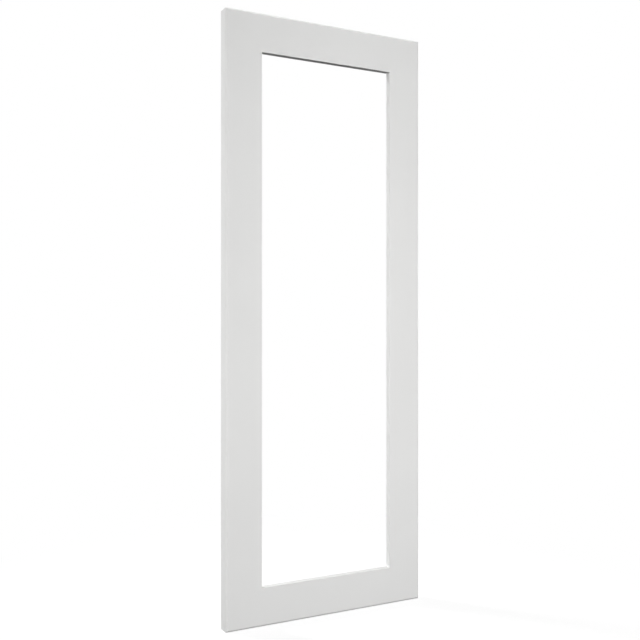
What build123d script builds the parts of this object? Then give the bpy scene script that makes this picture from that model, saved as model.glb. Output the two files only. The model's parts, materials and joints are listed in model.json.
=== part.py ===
from build123d import *
import os

# Kitchen cabinet door: a flat white frame with a square-cornered opening, ready for a pane of glass.
# Millimetres. X runs across the door, +Z up its height, and its front faces -Y.
# The origin lies under the middle of the lower edge, halfway through the thickness.

# Finished door
door_width = 297.0
door_height = 797.0
door_thickness = 18.0
stile_width = 50.0
rail_width = 50.8

# Lip round the opening, and the rebate behind it that takes the pane from the back
lip_thickness = 8.5
rebate_width = 8.0

# Edges: a flat bevel round the front, the opening and the outer back edges only eased
front_bevel = 2.5
opening_arris = 0.7
back_arris = 0.8

# Beech dowels in the corner joints
dowel_diameter = 6.0
dowel_length = 30.0
dowel_chamfer = 0.8
dowel_edge_distance = 12.0
dowel_spacing = 18.0
flute_count = 12
flute_depth = 0.3
glue_clearance = 0.1
glue_end_room = 1.0

# Drilling for two concealed hinges, in the back of the left stile
cup_diameter = 35.0
cup_depth = 12.5
cup_edge_distance = 4.0
hole_row_pitch = 32.0
hinge_pitches = 19
fixing_diameter = 8.0
fixing_depth = 11.0
fixing_spacing = 45.0
fixing_offset = 9.5

# Levels and lines that the sizes above give
front_y = -door_thickness / 2
back_y = door_thickness / 2
step_y = front_y + lip_thickness
opening_width = door_width - 2 * stile_width
opening_height = door_height - 2 * rail_width
land_width = stile_width - rebate_width
joint_x = door_width / 2 - land_width
joint_y = (step_y + back_y) / 2
cup_x = -door_width / 2 + cup_edge_distance + cup_diameter / 2
hinge_spacing = hole_row_pitch * hinge_pitches
cup_heights = [(door_height - hinge_spacing) / 2, (door_height + hinge_spacing) / 2]


def upright_slab(width, height, low_y, high_y):
    """Slab centred on the door's face, between two depths."""
    centre = Pos(0, (low_y + high_y) / 2, door_height / 2)
    return centre * Box(width, high_y - low_y, height)


def bevelled_blank():
    """Solid door-sized board: bevelled round its front face, eased round the back and corners."""
    board = upright_slab(door_width, door_height, front_y, back_y)
    board = chamfer(board.faces().sort_by(Axis.Y)[0].edges(), front_bevel)
    corner_edges = board.edges().filter_by(Axis.Y)
    back_edges = board.faces().sort_by(Axis.Y)[-1].edges()
    return fillet(corner_edges + back_edges, back_arris)


def door_frame():
    """The glued-up frame, cut and eased as one: opening, rebate and arrises run round unbroken."""
    frame = bevelled_blank()
    frame -= upright_slab(opening_width, opening_height, front_y, back_y)
    seat_width = opening_width + 2 * rebate_width
    seat_height = opening_height + 2 * rebate_width
    frame -= upright_slab(seat_width, seat_height, step_y, back_y)
    faces_along_y = frame.faces().filter_by(Axis.Y).sort_by(Axis.Y)
    opening_rims = [faces_along_y[end].inner_wires()[0].edges() for end in (0, -1)]
    return fillet([edge for rim in opening_rims for edge in rim], opening_arris)


def stile_zone(side):
    """Room of one stile: its full face in the lip, and only its land behind, clear of the rebate."""
    edge_x = side * door_width / 2
    lip_centre = Pos(edge_x - side * stile_width / 2, (front_y + step_y) / 2)
    land_centre = Pos(edge_x - side * land_width / 2, joint_y)
    plan = lip_centre * Rectangle(stile_width, lip_thickness)
    plan += land_centre * Rectangle(land_width, back_y - step_y)
    return extrude(plan, door_height)


def dowel_places():
    """Name and middle of each dowel: two across every corner joint, in the thick of the rail."""
    for rail_name, edge_z, inward in (("bottom", 0, 1), ("top", door_height, -1)):
        for side_name, side in (("left", -1), ("right", 1)):
            for number in (1, 2):
                inset = dowel_edge_distance + (number - 1) * dowel_spacing
                place = Pos(side * joint_x, joint_y, edge_z + inward * inset)
                yield f"dowel_{rail_name}_{side_name}_{number}", place


def dowel():
    """Dowel along X, with chamfered ends that start it in its hole and V-shaped flutes for the glue."""
    pin = Cylinder(dowel_diameter / 2, dowel_length)
    pin = chamfer(pin.edges(), dowel_chamfer)
    flute = Rot(Z=45) * Rectangle(flute_depth * 2**0.5, flute_depth * 2**0.5)
    flutes = Sketch() + PolarLocations(dowel_diameter / 2, flute_count) * flute
    pin -= extrude(flutes, dowel_length / 2, both=True)
    return Rot(Y=90) * pin


def dowel_hole():
    """Hole for one dowel, through the joint, with room for glue round it and at its ends."""
    hole_radius = dowel_diameter / 2 + glue_clearance
    return Rot(Y=90) * Cylinder(hole_radius, dowel_length + 2 * glue_end_room)


def back_bore(x, z, diameter, depth):
    """Blind bore, square to the back face and cut in from it."""
    from_mouth = (Align.CENTER, Align.CENTER, Align.MIN)
    return Pos(x, back_y, z) * Rot(X=90) * Cylinder(diameter / 2, depth, align=from_mouth)


def hinge_drilling():
    """The cup bore and two fixing bores of each hinge."""
    bores = []
    for cup_z in cup_heights:
        bores.append(back_bore(cup_x, cup_z, cup_diameter, cup_depth))
        for fixing_z in (cup_z - fixing_spacing / 2, cup_z + fixing_spacing / 2):
            bores.append(back_bore(cup_x + fixing_offset, fixing_z, fixing_diameter, fixing_depth))
    return bores


def members():
    """Stiles run the full height; the rails' tongues reach past the lip to the stiles' lands."""
    frame = door_frame() - [place * dowel_hole() for _, place in dowel_places()]
    left_zone = stile_zone(-1)
    right_zone = stile_zone(1)
    rail_bottom, rail_top = (frame - left_zone - right_zone).solids().sort_by(Axis.Z)
    return {
        "stile_left": (frame & left_zone) - hinge_drilling(),
        "stile_right": frame & right_zone,
        "rail_bottom": rail_bottom,
        "rail_top": rail_top,
    }


pieces = members()
for dowel_name, dowel_place in dowel_places():
    pieces[dowel_name] = dowel_place * dowel()

os.makedirs("parts", exist_ok=True)
for name, piece in pieces.items():
    export_step(piece, f"parts/{name}.step")
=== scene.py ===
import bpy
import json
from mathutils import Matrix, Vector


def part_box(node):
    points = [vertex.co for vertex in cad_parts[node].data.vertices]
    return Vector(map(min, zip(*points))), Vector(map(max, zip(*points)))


bl_info = {
    "name": "Open Framed Cabinet Door",
    "version": (1, 0, 0),
    "blender": (4, 5, 0),
    "location": "View3D > Sidebar > Cabinet Door",
    "description": "Gives an open framed kitchen door its lacquer and beech, in a pale studio",
    "category": "Object",
}

import json
import math

import bpy
from bpy.props import FloatProperty, FloatVectorProperty, PointerProperty
from mathutils import Vector

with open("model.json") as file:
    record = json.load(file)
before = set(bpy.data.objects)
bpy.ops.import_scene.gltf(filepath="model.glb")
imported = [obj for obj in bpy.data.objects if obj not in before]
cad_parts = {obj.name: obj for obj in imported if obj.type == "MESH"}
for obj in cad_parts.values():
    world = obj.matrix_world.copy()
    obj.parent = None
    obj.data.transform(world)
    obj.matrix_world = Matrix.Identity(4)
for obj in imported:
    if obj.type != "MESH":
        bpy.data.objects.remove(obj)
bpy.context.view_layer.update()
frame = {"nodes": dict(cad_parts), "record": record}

MM = 0.001
WHITE = (1.0, 1.0, 1.0, 1.0)

MEMBERS = ("stile_left", "stile_right", "rail_top", "rail_bottom")
DRILLED_MEMBER = "stile_left"
MOUNTS = {mount["name"]: mount for mount in frame["record"]["mounts"]}

# Most of a noise texture's values lie between these, so they map to 0 and 1.
NOISE_RANGE = {"From Min": 0.35, "From Max": 0.65}

SENSOR_WIDTH = 36.0  # millimetres
FLOOR_HALF_WIDTH = 8.0  # metres
SHADOW_REACH = 0.6  # metres from the door, where its shadow has faded out
SOFT_BOX_SIZE = 0.5  # metres
# Where each box stands and the point that it faces, in metres, and its spread in degrees.
SOFT_BOXES = {
    "key": ((-2.216, -3.343, 0.58), (0.326, 0.0, 0.239), 36.2),
    "front": ((-0.9, -3.4, 0.4), (0.0, 0.0, 0.4), 30.0),
    "upper": ((-0.3, -1.6, 1.6), (0.1, 0.0, 0.76), 24.0),
    "lower": ((1.5, -1.6, 0.25), (0.1, 0.0, 0.05), 24.0),
    "left": ((-3.0, 1.75, 0.4), (-0.15, 0.0, 0.3), 24.0),
    "back": ((-0.894, 1.303, 2.679), (-0.5, 0.0, 0.482), 46.1),
    "top": ((0.0, 0.0, 3.0), (0.0, 0.0, 0.4), 46.0),
    "right": ((2.1, 1.6, 0.5), (0.15, 0.0, 0.4), 36.0),
}


def linear_colour(hex_code):
    """sRGB hex code, such as E7E7E6, as the linear colour that the shaders take."""
    channels = [int(hex_code[start:start + 2], 16) / 255 for start in (0, 2, 4)]
    linear = [c / 12.92 if c <= 0.04045 else ((c + 0.055) / 1.055) ** 2.4 for c in channels]
    return (*linear, 1.0)


def add_node(tree, kind, inputs=None, **settings):
    """Add a node: settings go on the node itself, and an input takes a value, a socket, or the first
    output of a node."""
    node = tree.nodes.new(kind)
    for name, value in settings.items():
        setattr(node, name, value)
    for socket, value in (inputs or {}).items():
        if isinstance(value, bpy.types.Node):
            value = value.outputs[0]
        if isinstance(value, bpy.types.NodeSocket):
            tree.links.new(value, node.inputs[socket])
        else:
            node.inputs[socket].default_value = value
    return node


class FinishSettings(bpy.types.PropertyGroup):
    """Colours and surfaces of the lacquer, of the raw board in the bores and of the dowels."""

    lacquer_colour: FloatVectorProperty(
        name="Lacquer", description="White of the sprayed coat, a touch warm",
        subtype="COLOR", size=4, min=0.0, max=1.0, default=linear_colour("E7E7E6"))
    lacquer_thin_colour: FloatVectorProperty(
        name="Thin lacquer", description="The same white where the coat is a little thinner",
        subtype="COLOR", size=4, min=0.0, max=1.0, default=linear_colour("E5E5E4"))
    drift_width: FloatProperty(
        name="Drift", description="Width over which the coat's thickness drifts",
        subtype="DISTANCE", unit="LENGTH", min=0.001, default=120 * MM)
    lacquer_roughness: FloatProperty(
        name="Lacquer roughness", description="Matt: light spreads wide and no image is mirrored",
        subtype="FACTOR", min=0.0, max=1.0, default=0.6)
    edge_roughness: FloatProperty(
        name="Edge roughness", description="Duller still on the cut edges, which drink the coat",
        subtype="FACTOR", min=0.0, max=1.0, default=0.7)
    peel_width: FloatProperty(
        name="Orange peel", description="Width of one ripple that the spray gun leaves",
        subtype="DISTANCE", unit="LENGTH", min=0.0005, default=2.5 * MM)
    peel_height: FloatProperty(
        name="Ripple height", description="Height of those ripples",
        subtype="DISTANCE", unit="LENGTH", min=0.0, default=0.008 * MM)
    board_colour: FloatVectorProperty(
        name="Raw board", description="Cut fibreboard inside the hinge bores",
        subtype="COLOR", size=4, min=0.0, max=1.0, default=linear_colour("A98A62"))
    board_fleck_colour: FloatVectorProperty(
        name="Board fleck", description="Darker fibre bundles in the cut board",
        subtype="COLOR", size=4, min=0.0, max=1.0, default=linear_colour("7F6142"))
    fibre_size: FloatProperty(
        name="Fibre size", description="Width of a clump of fibre in the board",
        subtype="DISTANCE", unit="LENGTH", min=0.0001, default=2.0 * MM)
    ring_pitch: FloatProperty(
        name="Ring pitch", description="Distance between the rings that the boring bit leaves",
        subtype="DISTANCE", unit="LENGTH", min=0.0001, default=2.5 * MM)
    fibre_height: FloatProperty(
        name="Fibre height", description="How far the torn fibres stand out in the bores",
        subtype="DISTANCE", unit="LENGTH", min=0.0, default=0.25 * MM)
    fixing_depth: FloatProperty(
        name="Fixing bore depth", description="How deep the small hinge bores go in from the back",
        subtype="DISTANCE", unit="LENGTH", min=0.0, default=11.0 * MM)
    beech_colour: FloatVectorProperty(
        name="Beech", description="Ground colour of the dowels",
        subtype="COLOR", size=4, min=0.0, max=1.0, default=linear_colour("CBA377"))
    beech_fleck_colour: FloatVectorProperty(
        name="Beech fleck", description="Darker rays along the grain of the dowels",
        subtype="COLOR", size=4, min=0.0, max=1.0, default=linear_colour("A9794C"))


class StudioSettings(bpy.types.PropertyGroup):
    """Place of the camera, and the light round the door."""

    camera_place: FloatVectorProperty(
        name="Camera", description="Where the camera stands, level with the middle of the door",
        subtype="TRANSLATION", unit="LENGTH", size=3, default=(-0.5843, -1.0581, 0.3985))
    camera_turn: FloatProperty(
        name="Camera turn", description="How far the camera looks to the right of straight ahead",
        subtype="ANGLE", unit="ROTATION", default=math.radians(28.58))
    camera_lens: FloatProperty(
        name="Lens", description="Focal length on a 36 mm wide sensor",
        subtype="DISTANCE_CAMERA", min=1.0, default=50.0)
    wall_light: FloatProperty(
        name="Wall light", description="Strength of the pale walls all round, up to head height",
        min=0.0, default=1.45)
    key_power: FloatProperty(
        name="Key light", description="Power of the large soft box in front, on the left",
        subtype="POWER", unit="POWER", min=0.0, default=2.6)
    front_power: FloatProperty(
        name="Front light", description="Power of the soft box nearly straight in front",
        subtype="POWER", unit="POWER", min=0.0, default=0.64)
    upper_power: FloatProperty(
        name="Upper light", description="Power of the fill on the upper half of the front",
        subtype="POWER", unit="POWER", min=0.0, default=0.13)
    lower_power: FloatProperty(
        name="Lower light", description="Power of the fill on the lowest part of the front",
        subtype="POWER", unit="POWER", min=0.0, default=0.06)
    left_power: FloatProperty(
        name="Left light", description="Power of the fill low on the left, a little behind the door",
        subtype="POWER", unit="POWER", min=0.0, default=0.21)
    right_power: FloatProperty(
        name="Right light", description="Power of the soft box on the right, a little behind the door",
        subtype="POWER", unit="POWER", min=0.0, default=0.9)
    back_power: FloatProperty(
        name="Back light", description="Power of the soft box high up behind, on the left",
        subtype="POWER", unit="POWER", min=0.0, default=4.55)
    top_power: FloatProperty(
        name="Top light", description="Power of the soft box straight above",
        subtype="POWER", unit="POWER", min=0.0, default=0.76)


def new_material(name):
    """A new material and its node tree, which is still empty."""
    material = bpy.data.materials.new(name)
    material.use_nodes = True
    tree = material.node_tree
    tree.nodes.clear()
    return material, tree


def hinge_bores(finish):
    """Centre, radius and floor level of each bore in the hinge stile, from the record's mounts."""
    bores = []
    for place in ("upper", "lower"):
        cup = MOUNTS[f"hinge_cup_{place}"]
        centre = Vector(cup["pos_m"])
        floor_y = centre.y - cup["dims"]["length_mm"] * MM / 2
        bores.append((centre, cup["dims"]["r_mm"] * MM, floor_y))
        fixings = MOUNTS[f"hinge_fixings_{place}"]
        middle = Vector(fixings["pos_m"])
        for side in (-1, 1):
            centre = middle + Vector((0, 0, side * fixings["dims"]["spacing_y_mm"] * MM / 2))
            bores.append((centre, fixings["dims"]["hole_r_mm"] * MM, middle.y - finish.fixing_depth))
    return bores


def in_bores(tree, position, finish):
    """1 inside the bores and 0 on the lacquer, and the distance from the nearest bore's axis."""
    skin = 0.05 * MM  # keeps the mask off the back face, and takes in the bore's floor
    facet_room = 0.2 * MM  # a bore's wall is made of flats, which lie a little off the true circle
    far_away = 1.0
    back_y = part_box(DRILLED_MEMBER)[1].y
    split = add_node(tree, "ShaderNodeSeparateXYZ", {"Vector": position})
    flat = add_node(tree, "ShaderNodeCombineXYZ", {"X": split.outputs["X"], "Z": split.outputs["Z"]})
    inside, nearest = 0.0, far_away
    for centre, radius, floor_y in hinge_bores(finish):
        gap = add_node(tree, "ShaderNodeVectorMath", {0: flat, 1: (centre.x, 0.0, centre.z)},
                       operation="DISTANCE").outputs["Value"]
        within = add_node(tree, "ShaderNodeMath", {0: gap, 1: radius + facet_room}, operation="LESS_THAN")
        above_floor = add_node(tree, "ShaderNodeMath", {0: split.outputs["Y"], 1: floor_y - skin},
                               operation="GREATER_THAN")
        in_this_bore = add_node(tree, "ShaderNodeMath", {0: within, 1: above_floor}, operation="MULTIPLY")
        inside = add_node(tree, "ShaderNodeMath", {0: inside, 1: in_this_bore}, operation="MAXIMUM")
        nearest = add_node(tree, "ShaderNodeMath", {0: nearest, 1: gap}, operation="MINIMUM")
    below_back = add_node(tree, "ShaderNodeMath", {0: split.outputs["Y"], 1: back_y - skin},
                          operation="LESS_THAN")
    return add_node(tree, "ShaderNodeMath", {0: inside, 1: below_back}, operation="MULTIPLY"), nearest


def matt_lacquer(tree, position, finish):
    """Sprayed matt white lacquer on sanded medium-density fibreboard."""
    # A closed, even white with no grain. Its thickness drifts a little over the door, in soft clouds.
    clouds = add_node(tree, "ShaderNodeTexNoise",
                      {"Vector": position, "Scale": 1 / finish.drift_width, "Detail": 2.0})
    drift = add_node(tree, "ShaderNodeMapRange", {"Value": clouds, **NOISE_RANGE})
    colour = add_node(tree, "ShaderNodeMix",
                      {0: drift, 6: finish.lacquer_colour, 7: finish.lacquer_thin_colour}, data_type="RGBA")
    # The gun leaves a faint orange peel, which breaks up the light without showing as a pattern.
    ripples = add_node(tree, "ShaderNodeTexNoise",
                       {"Vector": position, "Scale": 1 / finish.peel_width, "Detail": 1.0, "Roughness": 0.4})
    relief = add_node(tree, "ShaderNodeBump", {"Height": ripples, "Distance": finish.peel_height})
    # The cut edges drink more of the coat than the faces do, so they turn out duller. The bevels lie
    # between the two.
    edge_limit, face_limit = 0.5, 0.95
    normal = add_node(tree, "ShaderNodeTexCoord").outputs["Normal"]
    facing = add_node(tree, "ShaderNodeSeparateXYZ", {"Vector": normal}).outputs["Y"]
    squareness = add_node(tree, "ShaderNodeMath", {0: facing}, operation="ABSOLUTE")
    dullness = add_node(tree, "ShaderNodeMapRange",
                        {"Value": squareness, "From Min": edge_limit, "From Max": face_limit,
                         "To Min": finish.edge_roughness, "To Max": finish.lacquer_roughness})
    # The gloss wanders a little with the thickness of the coat.
    wander = 0.02
    uneven = add_node(tree, "ShaderNodeMapRange", {"Value": drift, "To Min": -wander, "To Max": wander})
    roughness = add_node(tree, "ShaderNodeMath", {0: dullness, 1: uneven}, operation="ADD")
    return add_node(tree, "ShaderNodeBsdfPrincipled",
                    {"Base Color": colour.outputs[2], "Roughness": roughness, "IOR": 1.5, "Normal": relief})


def raw_board(tree, position, axis_distance, finish):
    """Medium-density fibreboard, laid bare by the boring bit."""
    # Matt brown, speckled with clumps of fibre. The real clumps are about 0.5 mm wide and the real rings
    # about 0.8 mm apart, too fine to show in the render, so both are drawn three to four times as coarse.
    fibres = add_node(tree, "ShaderNodeTexNoise",
                      {"Vector": position, "Scale": 1 / finish.fibre_size, "Detail": 3.0, "Roughness": 0.6})
    speckle = add_node(tree, "ShaderNodeMapRange", {"Value": fibres, **NOISE_RANGE})
    colour = add_node(tree, "ShaderNodeMix",
                      {0: speckle, 6: finish.board_fleck_colour, 7: finish.board_colour}, data_type="RGBA")
    # The bit's edge leaves fine rings round the middle of each bore's floor, shallower than the fibres.
    ring_share = 0.2
    turns = add_node(tree, "ShaderNodeMath", {0: axis_distance, 1: 2 * math.pi / finish.ring_pitch},
                     operation="MULTIPLY")
    rings = add_node(tree, "ShaderNodeMath", {0: turns}, operation="SINE")
    height = add_node(tree, "ShaderNodeMath", {0: rings, 1: ring_share, 2: fibres}, operation="MULTIPLY_ADD")
    relief = add_node(tree, "ShaderNodeBump", {"Height": height, "Distance": finish.fibre_height})
    return add_node(tree, "ShaderNodeBsdfPrincipled",
                    {"Base Color": colour.outputs[2], "Roughness": 0.85, "IOR": 1.5, "Normal": relief})


def lacquered_member(name, finish, drilled):
    """Material of a stile or rail. The bores are drilled after spraying, so raw board shows in them."""
    material, tree = new_material(name)
    position = add_node(tree, "ShaderNodeTexCoord").outputs["Object"]
    surface = matt_lacquer(tree, position, finish)
    if drilled:
        bare, axis_distance = in_bores(tree, position, finish)
        board = raw_board(tree, position, axis_distance, finish)
        surface = add_node(tree, "ShaderNodeMixShader", {"Fac": bare, 1: surface, 2: board})
    add_node(tree, "ShaderNodeOutputMaterial", {"Surface": surface})
    return material


def beech(finish):
    """Steamed beech, turned and fluted, unfinished."""
    material, tree = new_material("Steamed_beech")
    ray_length = 3.0 * MM
    ray_width = 0.3 * MM
    ray_height = 0.02 * MM
    # Pale pinkish brown with short dark rays along the grain, which runs along the dowel.
    position = add_node(tree, "ShaderNodeTexCoord").outputs["Object"]
    along = add_node(tree, "ShaderNodeMapping",
                     {"Vector": position, "Scale": (1 / ray_length, 1 / ray_width, 1 / ray_width)})
    rays = add_node(tree, "ShaderNodeTexNoise", {"Vector": along, "Scale": 1.0, "Detail": 2.0})
    density = add_node(tree, "ShaderNodeMapRange", {"Value": rays, "From Min": 0.4, "From Max": 0.55})
    colour = add_node(tree, "ShaderNodeMix",
                      {0: density, 6: finish.beech_fleck_colour, 7: finish.beech_colour}, data_type="RGBA")
    relief = add_node(tree, "ShaderNodeBump", {"Height": rays, "Distance": ray_height})
    surface = add_node(tree, "ShaderNodeBsdfPrincipled",
                       {"Base Color": colour.outputs[2], "Roughness": 0.6, "IOR": 1.5, "Normal": relief})
    add_node(tree, "ShaderNodeOutputMaterial", {"Surface": surface})
    return material


def dress(node_name, material):
    """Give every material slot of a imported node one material."""
    slots = frame["nodes"][node_name].material_slots
    for slot in slots:
        slot.material = material


def seen_directly(tree):
    """1 for what the camera sees, straight or in a gloss or through glass, and 0 for light on the object."""
    path = add_node(tree, "ShaderNodeLightPath")
    seen = path.outputs["Is Camera Ray"]
    for ray in ("Is Glossy Ray", "Is Transmission Ray"):
        seen = add_node(tree, "ShaderNodeMath", {0: seen, 1: path.outputs[ray]}, operation="MAXIMUM")
    return seen


def paper_floor():
    """White background paper, laid flat."""
    material, tree = new_material("White_background_paper")
    # Seen, it is white with the door's soft shadow, and plain white beyond the shadow's reach. As light it
    # is dim, because the door's lower surfaces get next to nothing from below.
    shadowed_part = linear_colour("7C7C7C")
    steady_part = 0.87
    dim_grey = linear_colour("1A1A1A")
    place = add_node(tree, "ShaderNodeTexCoord").outputs["Object"]
    away = add_node(tree, "ShaderNodeVectorMath", {0: place}, operation="LENGTH").outputs["Value"]
    plain = add_node(tree, "ShaderNodeMapRange",
                     {"Value": away, "From Min": SHADOW_REACH / 2, "From Max": SHADOW_REACH},
                     interpolation_type="SMOOTHSTEP")
    paper = add_node(tree, "ShaderNodeBsdfDiffuse", {"Color": shadowed_part})
    glow = add_node(tree, "ShaderNodeEmission", {"Color": WHITE, "Strength": steady_part})
    near = add_node(tree, "ShaderNodeAddShader", {0: paper, 1: glow})
    white = add_node(tree, "ShaderNodeEmission", {"Color": WHITE, "Strength": 1.0})
    seen = add_node(tree, "ShaderNodeMixShader", {"Fac": plain, 1: near, 2: white})
    dim = add_node(tree, "ShaderNodeBsdfDiffuse", {"Color": dim_grey})
    surface = add_node(tree, "ShaderNodeMixShader", {"Fac": seen_directly(tree), 1: dim, 2: seen})
    add_node(tree, "ShaderNodeOutputMaterial", {"Surface": surface})
    return material


def lay_floor():
    """Square floor under the door."""
    mesh = bpy.data.meshes.new("floor")
    far = FLOOR_HALF_WIDTH
    corners = [(-far, -far, 0.0), (far, -far, 0.0), (far, far, 0.0), (-far, far, 0.0)]
    mesh.from_pydata(corners, [], [(0, 1, 2, 3)])
    floor = bpy.data.objects.new("floor", mesh)
    bpy.context.scene.collection.objects.link(floor)
    floor.data.materials.append(paper_floor())


def light_surround(studio):
    """White surround for the eye; as light, pale walls, and nothing from above or below."""
    # Heights are the sine of the angle above the horizon. The walls fade in at the foot and out at the head.
    foot_low, foot_high = -0.02, 0.04
    head_low, head_high = 0.3, 0.6
    world = bpy.data.worlds.new("Pale_studio")
    bpy.context.scene.world = world
    world.use_nodes = True
    tree = world.node_tree
    tree.nodes.clear()
    direction = add_node(tree, "ShaderNodeTexCoord").outputs["Generated"]
    height = add_node(tree, "ShaderNodeSeparateXYZ", {"Vector": direction}).outputs["Z"]
    wall_foot = add_node(tree, "ShaderNodeMapRange",
                         {"Value": height, "From Min": foot_low, "From Max": foot_high,
                          "To Max": studio.wall_light},
                         interpolation_type="SMOOTHSTEP")
    wall_head = add_node(tree, "ShaderNodeMapRange",
                         {"Value": height, "From Min": head_low, "From Max": head_high,
                          "To Min": 1.0, "To Max": 0.0},
                         interpolation_type="SMOOTHSTEP")
    walls = add_node(tree, "ShaderNodeMath", {0: wall_foot, 1: wall_head}, operation="MULTIPLY")
    light = add_node(tree, "ShaderNodeBackground", {"Color": WHITE, "Strength": walls})
    white = add_node(tree, "ShaderNodeBackground", {"Color": WHITE, "Strength": 1.0})
    surface = add_node(tree, "ShaderNodeMixShader", {"Fac": seen_directly(tree), 1: light, 2: white})
    add_node(tree, "ShaderNodeOutputWorld", {"Surface": surface})


def soft_box(name, place, aim, spread, power):
    """Square soft light with a grid front: it stands at a place, faces a point and keeps within a spread."""
    lamp = bpy.data.lights.new(name, "AREA")
    lamp.size = SOFT_BOX_SIZE
    lamp.spread = math.radians(spread)
    lamp.energy = power
    box = bpy.data.objects.new(name, lamp)
    box.location = place
    box.rotation_euler = (Vector(aim) - Vector(place)).to_track_quat("-Z", "Y").to_euler()
    box.visible_camera = False
    bpy.context.scene.collection.objects.link(box)


def set_camera(studio):
    """Level camera at half the door's height, left of the door and turned to it."""
    camera = bpy.data.objects.new("camera", bpy.data.cameras.new("camera"))
    camera.data.lens = studio.camera_lens
    camera.data.sensor_width = SENSOR_WIDTH
    camera.location = studio.camera_place
    camera.rotation_euler = (math.radians(90), 0.0, -studio.camera_turn)
    bpy.context.scene.collection.objects.link(camera)
    bpy.context.scene.camera = camera


class DOOR_OT_lacquer_members(bpy.types.Operator):
    """Lacquer the stiles and rails, and bare the board in the hinge bores"""

    bl_idname = "door.lacquer_members"
    bl_label = "Lacquer the members"

    def execute(self, context):
        finish = context.scene.door_finish
        plain = lacquered_member("Matt_lacquer_on_MDF", finish, drilled=False)
        bored = lacquered_member("Matt_lacquer_on_drilled_MDF", finish, drilled=True)
        for name in MEMBERS:
            dress(name, bored if name == DRILLED_MEMBER else plain)
        return {"FINISHED"}


class DOOR_OT_beech_dowels(bpy.types.Operator):
    """Give the dowels in the corner joints their beech"""

    bl_idname = "door.beech_dowels"
    bl_label = "Beech the dowels"

    def execute(self, context):
        wood = beech(context.scene.door_finish)
        for name in frame["nodes"]:
            if name.startswith("dowel"):
                dress(name, wood)
        return {"FINISHED"}


class DOOR_OT_studio(bpy.types.Operator):
    """Set the camera, the floor, the surround and the soft boxes"""

    bl_idname = "door.studio"
    bl_label = "Set the studio"

    def execute(self, context):
        studio = context.scene.door_studio
        context.scene.view_settings.view_transform = "Standard"
        set_camera(studio)
        lay_floor()
        light_surround(studio)
        for name, (place, aim, spread) in SOFT_BOXES.items():
            soft_box(f"{name}_box", place, aim, spread, getattr(studio, f"{name}_power"))
        return {"FINISHED"}


class DOOR_PT_panel(bpy.types.Panel):
    """Settings and steps of the cabinet door"""

    bl_label = "Cabinet Door"
    bl_idname = "DOOR_PT_panel"
    bl_space_type = "VIEW_3D"
    bl_region_type = "UI"
    bl_category = "Cabinet Door"

    def draw(self, context):
        layout = self.layout
        for settings in (context.scene.door_finish, context.scene.door_studio):
            box = layout.box()
            for name in settings.__annotations__:
                box.prop(settings, name)
        for operator in OPERATORS:
            layout.operator(operator.bl_idname)


OPERATORS = (DOOR_OT_lacquer_members, DOOR_OT_beech_dowels, DOOR_OT_studio)
CLASSES = (FinishSettings, StudioSettings, *OPERATORS, DOOR_PT_panel)


def register():
    for cls in CLASSES:
        bpy.utils.register_class(cls)
    bpy.types.Scene.door_finish = PointerProperty(type=FinishSettings)
    bpy.types.Scene.door_studio = PointerProperty(type=StudioSettings)


def unregister():
    del bpy.types.Scene.door_studio
    del bpy.types.Scene.door_finish
    for cls in reversed(CLASSES):
        bpy.utils.unregister_class(cls)


def main():
    register()
    bpy.ops.door.lacquer_members()
    bpy.ops.door.beech_dowels()
    bpy.ops.door.studio()


if __name__ == "__main__":
    main()
